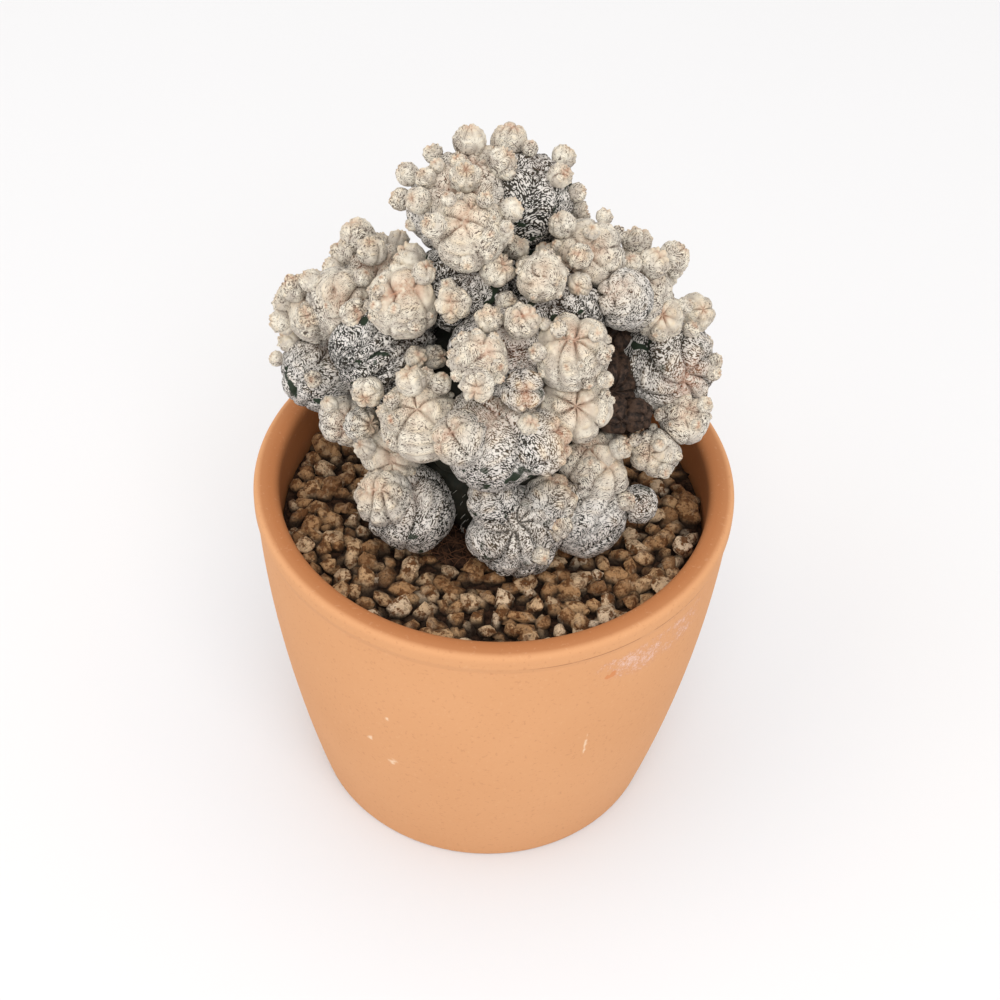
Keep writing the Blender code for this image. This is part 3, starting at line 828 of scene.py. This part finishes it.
def rounded(corners, step):
    """A closed outline with its corners rounded off, as evenly spaced points."""
    outline = []
    for index, (*here, radius) in enumerate(corners):
        here = np.array(here)
        before = np.array(corners[index - 1][:2])
        after = np.array(corners[(index + 1) % len(corners)][:2])
        if radius <= 0:
            outline.append(here)
            continue
        to_before = unit(before - here)
        to_after = unit(after - here)
        half = math.acos(np.clip(to_before @ to_after, -1, 1)) / 2
        room = 0.49 * min(np.linalg.norm(before - here), np.linalg.norm(after - here))
        cut = min(radius / math.tan(half), room)
        start = here + to_before * cut
        end = here + to_after * cut
        for t in np.linspace(0, 1, 9):
            outline.append((1 - t) ** 2 * start + 2 * t * (1 - t) * here + t * t * end)
    filled = []
    for index, here in enumerate(outline):
        after = outline[(index + 1) % len(outline)]
        parts = max(1, int(np.linalg.norm(after - here) / step))
        for part in range(parts):
            filled.append(here + (after - here) * part / parts)
    return np.array(filled)


def pot_wall(height):
    """Outer radius of the pot below its lip."""
    share = height / POT_HEIGHT
    return FOOT_RADIUS + (POT_RADIUS - LIP_LEDGE - FOOT_RADIUS) * (1 - (1 - share) ** BELLY)


def turn_pot(material):
    """The pot, turned from its outline: foot, belly, lip, bore and drain hole."""
    band = POT_HEIGHT - LIP_BAND
    corners = [
        (DRAIN_RADIUS, FOOT_RECESS, 0.6 * MM),
        (FOOT_RADIUS - FOOT_RING, FOOT_RECESS, 0.8 * MM),
        (FOOT_RADIUS - FOOT_RING, 0, 0.8 * MM),
        (FOOT_RADIUS, 0, 1.6 * MM),
    ]
    ledge = band - LEDGE_SLOPE
    corners += [(pot_wall(h), h, 0) for h in np.linspace(0.03, 0.97, 24) * ledge]
    corners += [
        (pot_wall(band), ledge, 0.8 * MM),
        (POT_RADIUS, band + LEDGE_SLOPE, 1.4 * MM),
        (POT_RADIUS, POT_HEIGHT, 3.3 * MM),
        (POT_RADIUS - LIP_THICKNESS, POT_HEIGHT, 3.0 * MM),
        (BORE_RADIUS, BORE_TOP, 2 * MM),
    ]
    inner = np.linspace(0.9, 0.16, 20) * band
    corners += [(min(pot_wall(h) - WALL, BORE_RADIUS), h, 0) for h in inner]
    corners += [
        (pot_wall(POT_FLOOR) - WALL - 2 * MM, POT_FLOOR, 3 * MM),
        (DRAIN_RADIUS, POT_FLOOR, 0.8 * MM),
    ]
    outline = rounded(corners, 1.3 * MM)
    around = 256
    points = lathe(outline, around)
    flat = points[:, 2] < 0.3 * MM
    wave = 0.25 * MM * rumple(points, 0.05, 3)
    reach = np.linalg.norm(points[:, :2], axis=1)
    out = points[:, :2] / reach[:, None]
    outer = reach > pot_wall(np.clip(points[:, 2], 0, band)) - 1.0 * MM
    points[:, :2] -= out * (np.abs(wave) * outer * ~flat)[:, None]
    bearing = np.degrees(np.arctan2(points[:, 1], points[:, 0]))
    height = points[:, 2] / MM
    top = POT_HEIGHT / MM
    reach = np.linalg.norm(points[:, :2], axis=1)
    # Painted shade on the lip's top, darker towards the bore, and down the inner wall.
    rim = 0.95 * ease(POT_RADIUS - 0.4 * MM, POT_RADIUS - 3.0 * MM, reach) * (height > top - 6)
    looks = {
        "inside": np.maximum(rim, ~outer * ease(top - 1, top - 6, height)),
        "lime": np.exp(-(((bearing + 44) / 25) ** 4)) * ease(84, 97, height) * outer,
        "chipped": np.exp(-(((bearing + 60) / 2.6) ** 2) - ((height - 98) / 2.0) ** 2) * outer,
        "scratch": np.zeros(len(points)),
    }
    looks["lime"] *= 1 - ease(104, 108, height)
    for at, low, high, wide in SCRATCHES:
        middle = (low + high) / 2
        half = (high - low) / 2 + 0.6
        mark = np.exp(-(((bearing - at) / wide) ** 2) - ((height - middle) / half) ** 4)
        looks["scratch"] += 0.8 * mark * outer
    faces = lathe_faces(around, len(outline))
    settle(new_mesh("terracotta_pot", points, faces, looks, [material]), "pot")


# ---- the gravel


def gravel_tree(material):
    """Geometry Nodes: chips of stone strewn over the faces of a surface."""
    tree = bpy.data.node_groups.new("strewn_gravel", "GeometryNodeTree")
    tree.interface.new_socket("Surface", in_out="INPUT", socket_type="NodeSocketGeometry")
    for title, kind, value in (
        ("Chip size", "NodeSocketFloat", CHIP_SIZE),
        ("Chip spacing", "NodeSocketFloat", CHIP_SPACING),
        ("Seed", "NodeSocketInt", 3),
    ):
        socket = tree.interface.new_socket(title, in_out="INPUT", socket_type=kind)
        socket.default_value = value
    tree.interface.new_socket("Gravel", in_out="OUTPUT", socket_type="NodeSocketGeometry")
    join = tree.links.new

    def put(kind, **sockets):
        node = tree.nodes.new(kind)
        for socket, value in sockets.items():
            node.inputs[socket].default_value = value
        return node

    def chance(kind, low, high, seed):
        """A random value from low to high for each chip, and its socket."""
        node = tree.nodes.new("FunctionNodeRandomValue")
        node.data_type = kind
        first = {"FLOAT_VECTOR": 0, "FLOAT": 2, "INT": 4}[kind]
        node.inputs[first].default_value = low
        node.inputs[first + 1].default_value = high
        node.inputs["Seed"].default_value = seed
        return node.outputs[first // 2]

    given = put("NodeGroupInput")
    result = put("NodeGroupOutput")
    strew = put("GeometryNodeDistributePointsOnFaces")
    strew.distribute_method = "POISSON"
    strew.inputs["Density Max"].default_value = 2.0e5
    join(given.outputs["Surface"], strew.inputs["Mesh"])
    join(given.outputs["Chip spacing"], strew.inputs["Distance Min"])
    join(given.outputs["Seed"], strew.inputs["Seed"])
    shapes = put("GeometryNodeJoinGeometry")
    for number in range(CHIP_SHAPES):
        ball = put("GeometryNodeMeshIcoSphere", Radius=0.5, Subdivisions=2)
        dent = (0.17, 0.15, 0.13)
        spread = chance("FLOAT_VECTOR", [-most for most in dent], dent, number * 7 + 1)
        move = put("GeometryNodeSetPosition")
        hull = put("GeometryNodeConvexHull")
        one = put("GeometryNodeGeometryToInstance")
        join(ball.outputs["Mesh"], move.inputs["Geometry"])
        join(spread, move.inputs["Offset"])
        join(move.outputs["Geometry"], hull.inputs["Geometry"])
        join(hull.outputs[0], one.inputs[0])
        join(one.outputs[0], shapes.inputs[0])
    lay = put("GeometryNodeInstanceOnPoints")
    lay.inputs["Pick Instance"].default_value = True
    pick = chance("INT", 0, CHIP_SHAPES - 1, 0)
    turn = chance("FLOAT_VECTOR", (0, 0, 0), (0.9, 0.9, 6.28), 5)
    stretch = chance("FLOAT_VECTOR", (0.6, 0.5, 0.45), (1.3, 1.0, 0.85), 9)
    shade = chance("FLOAT", 0, 1, 13)
    size = put("ShaderNodeVectorMath")
    size.operation = "SCALE"
    join(strew.outputs["Points"], lay.inputs["Points"])
    join(shapes.outputs[0], lay.inputs["Instance"])
    join(pick, lay.inputs["Instance Index"])
    join(turn, lay.inputs["Rotation"])
    join(stretch, size.inputs[0])
    join(given.outputs["Chip size"], size.inputs["Scale"])
    join(size.outputs[0], lay.inputs["Scale"])
    tint = put("GeometryNodeStoreNamedAttribute", Name="tint")
    tint.data_type = "FLOAT"
    tint.domain = "INSTANCE"
    join(lay.outputs[0], tint.inputs["Geometry"])
    join(shade, tint.inputs["Value"])
    real = put("GeometryNodeRealizeInstances")
    paint = put("GeometryNodeSetMaterial", Material=material)
    join(tint.outputs["Geometry"], real.inputs[0])
    join(real.outputs[0], paint.inputs["Geometry"])
    join(paint.outputs[0], result.inputs["Gravel"])
    return tree


def strewn(surface, tree, size, spacing, seed):
    """The chips strewn over one surface, as a plain mesh."""
    modifier = surface.modifiers.new("gravel", "NODES")
    modifier.node_group = tree
    given = {"Chip size": size, "Chip spacing": spacing, "Seed": seed}
    for item in tree.interface.items_tree:
        if item.in_out == "INPUT" and item.name in given:
            modifier[item.identifier] = given[item.name]
    graph = bpy.context.evaluated_depsgraph_get()
    mesh = bpy.data.meshes.new_from_object(surface.evaluated_get(graph), depsgraph=graph)
    surface.modifiers.remove(modifier)
    return mesh


def bed_surface(name, level, reach, inside, lumps, seed):
    """A ring of soil surface for chips to lie on."""
    around, rows = 96, 24
    radii = np.linspace(inside, reach, rows)
    points = lathe(np.stack([radii, np.full(rows, level)], 1), around)
    points[:, 2] += lumps * rumple(points, 0.014, seed)
    faces = []
    ring = np.arange(around)
    after = (ring + 1) % around
    for row in range(rows - 1):
        a = row * around
        b = a + around
        faces += np.stack([a + ring, b + ring, b + after, a + after], 1).tolist()
    return new_mesh(name, points, faces, {}, [])


def lay_gravel(stone, dark):
    """Two close layers of chips and a few bigger ones on top, then the grit under them."""
    tree = gravel_tree(stone)
    layers = (
        (GRAVEL_LEVEL - 2.5 * MM, CHIP_SIZE * 0.8, CHIP_SPACING * 0.78, 4),
        (GRAVEL_LEVEL - 1.4 * MM, CHIP_SIZE * 0.92, CHIP_SPACING, 8),
        (GRAVEL_LEVEL - 0.8 * MM, CHIP_SIZE * 1.15, CHIP_SPACING * 3.2, 15),
    )
    for number, (level, size, spacing, seed) in enumerate(layers):
        reach = GRAVEL_REACH - 0.3 * size
        surface = bed_surface("bed", level, reach, GRAVEL_INSIDE, 0.6 * MM, seed)
        mesh = strewn(surface, tree, size, spacing, seed)
        bpy.data.objects.remove(surface)
        settle(show("gravel_layer_%d" % (number + 1), mesh), "gravel_bed")
    fill_bed(dark)


def fill_bed(material):
    """The fine grit under the chips, a closed ring that fills the bed."""
    corners = [
        (GRIT_INSIDE, GRIT_BOTTOM, 0),
        (GRAVEL_REACH - 0.5 * MM, GRIT_BOTTOM, 0),
        (GRAVEL_REACH, GRIT_BOTTOM + MM, 0),
        (GRAVEL_REACH, GRIT_TOP, 0.3 * MM),
        (GRAVEL_INSIDE + 2 * MM, GRIT_TOP + 0.2 * MM, 2 * MM),
        (GRIT_INSIDE, GRIT_TOP, 0),
    ]
    outline = rounded(corners, 1.2 * MM)
    around = 160
    points = lathe(outline, around)
    top = points[:, 2] > GRIT_TOP - 0.5 * MM
    points[:, 2] += top * 0.5 * MM * rumple(points, 0.005, 21)
    faces = lathe_faces(around, len(outline))
    grit = new_mesh("gravel_grit", points, faces, {}, [material])
    settle(grit, "gravel_bed")


def strands(name, starts, ways, lengths, rises, thick, rng, material):
    """Thin closed strands: each from its start along its way, arched up by its rise."""
    sides, steps = 5, 9
    points = []
    faces = []
    turn = np.arange(sides) * 2 * np.pi / sides
    for start, way, length, rise in zip(starts, ways, lengths, rises):
        across = unit(np.cross(way, unit(rng.normal(size=3))))
        other = np.cross(way, across)
        curl = across * rng.uniform(-0.35, 0.35) * length
        base = len(points)
        points.append(start)
        for step in range(1, steps):
            t = step / steps
            middle = start + way * length * t + curl * t * t
            middle = middle + np.array([0, 0, rise]) * 4 * t * (1 - t)
            wide = thick * (1 - 0.7 * t)
            points += [middle + wide * (math.cos(a) * across + math.sin(a) * other) for a in turn]
        points.append(start + way * length + curl)
        tip = len(points) - 1
        for side in range(sides):
            after = (side + 1) % sides
            faces.append([base, base + 1 + after, base + 1 + side])
            for step in range(steps - 2):
                a = base + 1 + step * sides
                b = a + sides
                faces.append([a + side, a + after, b + after, b + side])
            last = base + 1 + (steps - 2) * sides
            faces.append([last + side, last + after, tip])
    return new_mesh(name, np.array(points), faces, {}, [material])


def soil_gap(earth, coir, bristle):
    """Bare potting soil with coir strands in front of the stem, and the stem's white bristles."""
    rng = np.random.default_rng(17)
    around, rows = 72, 40
    plain = (5, 0.1, 0, 0.0, 0.0, 0.0, 0.0)
    points, _ = ribbed_ball(SOIL_MIDDLE, SOIL_RADIUS, heading(0, 90), plain, 90, around, rows)
    points[:, 2] = SOIL_MIDDLE[2] + (points[:, 2] - SOIL_MIDDLE[2]) * 0.3
    points[:, 2] += 0.5 * MM * rumple(points, 0.0016, 91)
    mound = new_mesh("bare_soil", points, ball_faces(around, rows), {}, [earth])
    settle(mound, "gravel_bed")

    count = 90
    out = np.sqrt(rng.uniform(0, 1, count)) * SOIL_RADIUS
    turn = rng.uniform(0, 2 * math.pi, count)
    on_top = np.full(count, 2.2 * MM)
    starts = SOIL_MIDDLE + np.stack([out * np.cos(turn), out * np.sin(turn), on_top], 1)
    ways = rng.uniform((0, -0.1), (6.28, 0.15), (count, 2))
    ways = [unit(np.array([math.cos(a), math.sin(a), climb])) for a, climb in ways]
    lengths = rng.uniform(3, 9, count) * MM
    rises = rng.uniform(0, 1.2, count) * MM
    fibre = strands("coir_strands", starts, ways, lengths, rises, 0.17 * MM, rng, coir)
    settle(fibre, "gravel_bed")

    centre, radius = ball_of("root_crown")
    count = 110
    ways = [heading(*place) for place in rng.uniform((-135, -42), (-70, 15), (count, 2))]
    starts = [centre + way * (radius * 1.03) for way in ways]
    ways = [unit(way + rng.normal(size=3) * 0.35) for way in ways]
    lengths = rng.uniform(1.2, 2.6, count) * MM
    level = np.zeros(count)
    spines = strands("stem_bristles", starts, ways, lengths, level, 0.07 * MM, rng, bristle)
    settle(spines, "root_crown")


def cut_stone(name, seed, material, tint):
    """One larger stone, cut by flat faces, in the place of its CAD solid."""
    low, high = (np.array(corner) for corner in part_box(name))
    centre = (low + high) / 2
    half = (high - low) / 2
    rng = np.random.default_rng(seed)
    around, rows = 48, 28
    theta, phi = ball_angles(around, rows, 1)
    across = np.sin(theta)
    outward = np.stack([across * np.cos(phi), across * np.sin(phi), np.cos(theta)], 1)
    reach = np.full(len(outward), 1.15)
    soft = 0.03
    for _ in range(16):
        lean = outward @ unit(rng.normal(size=3))
        limit = np.where(lean > 0.1, rng.uniform(0.72, 0.98) / np.maximum(lean, 0.1), 3.0)
        reach = -soft * np.logaddexp(-reach / soft, -limit / soft)
    reach = reach + 0.02 * rumple(outward, 0.35, seed)
    shape = outward * reach[:, None]
    shape = shape / np.abs(shape).max(0)
    points = centre + shape * half
    looks = {"tint": np.full(len(points), tint)}
    piece = new_mesh(name + "_cut", points, ball_faces(around, rows), looks, [material])
    settle(piece, name)


# ---- floor, light and camera


def set_stage():
    """A wide white floor, an even white room and two soft lamps."""
    corners = 3.0 * np.array([[-1, -1, 0], [1, -1, 0], [1, 1, 0], [-1, 1, 0]])
    new_mesh("floor", corners, [[0, 1, 2, 3]], {}, [pale_floor()], smooth=False)
    world = bpy.data.worlds.new("soft_room")
    bpy.context.scene.world = world
    world.use_nodes = True
    room = world.node_tree.nodes["Background"]
    room.inputs["Color"].default_value = (1.0, 0.993, 0.99, 1)
    room.inputs["Strength"].default_value = 0.99
    aim = Vector((0, 0, 0.12))
    for name, spot, size, power in (
        ("key_light", (0.15, -0.95, 1.3), 1.0, 9.0),
        ("fill_light", (-0.9, -0.4, 1.0), 1.2, 2.0),
    ):
        lamp = bpy.data.lights.new(name, "AREA")
        lamp.shape = "DISK"
        lamp.size = size
        lamp.energy = power
        stand = show(name, lamp)
        stand.location = spot
        stand.rotation_euler = (Vector(spot) - aim).to_track_quat("Z", "Y").to_euler()
    bpy.context.scene.view_settings.view_transform = "Standard"


def set_camera():
    """A long lens looking down on the pot, tipped a little to one side."""
    look_down = math.radians(45.53)
    roll = math.radians(2.65)
    distance = 0.5901
    aim = 0.1043
    aside = 0.00187
    forward = Vector((0, math.cos(look_down), -math.sin(look_down)))
    right = Vector((1, 0, 0))
    upward = right.cross(forward)
    tipped_right = right * math.cos(roll) + upward * math.sin(roll)
    tipped_up = upward * math.cos(roll) - right * math.sin(roll)
    camera = bpy.data.cameras.new("camera")
    camera.sensor_width = 36
    camera.lens = 72
    camera.clip_start = 0.01
    stand = show("camera", camera)
    turned = Matrix((tipped_right, tipped_up, -forward)).transposed().to_4x4()
    spot = Vector((0, 0, aim)) - forward * distance + tipped_right * aside
    stand.matrix_world = Matrix.Translation(spot) @ turned
    bpy.context.scene.camera = stand


set_camera()
set_stage()
grow_heads(flecked_skin())
turn_pot(terracotta())
stone = gravel_stone()
earth = soil()
lay_gravel(stone, earth)
soil_gap(earth, coir(), white_bristle())
for number, (node, tint) in enumerate(STONES.items()):
    cut_stone(node, 70 + number, stone, tint)
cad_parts["potting_mix"].material_slots[0].material = earth
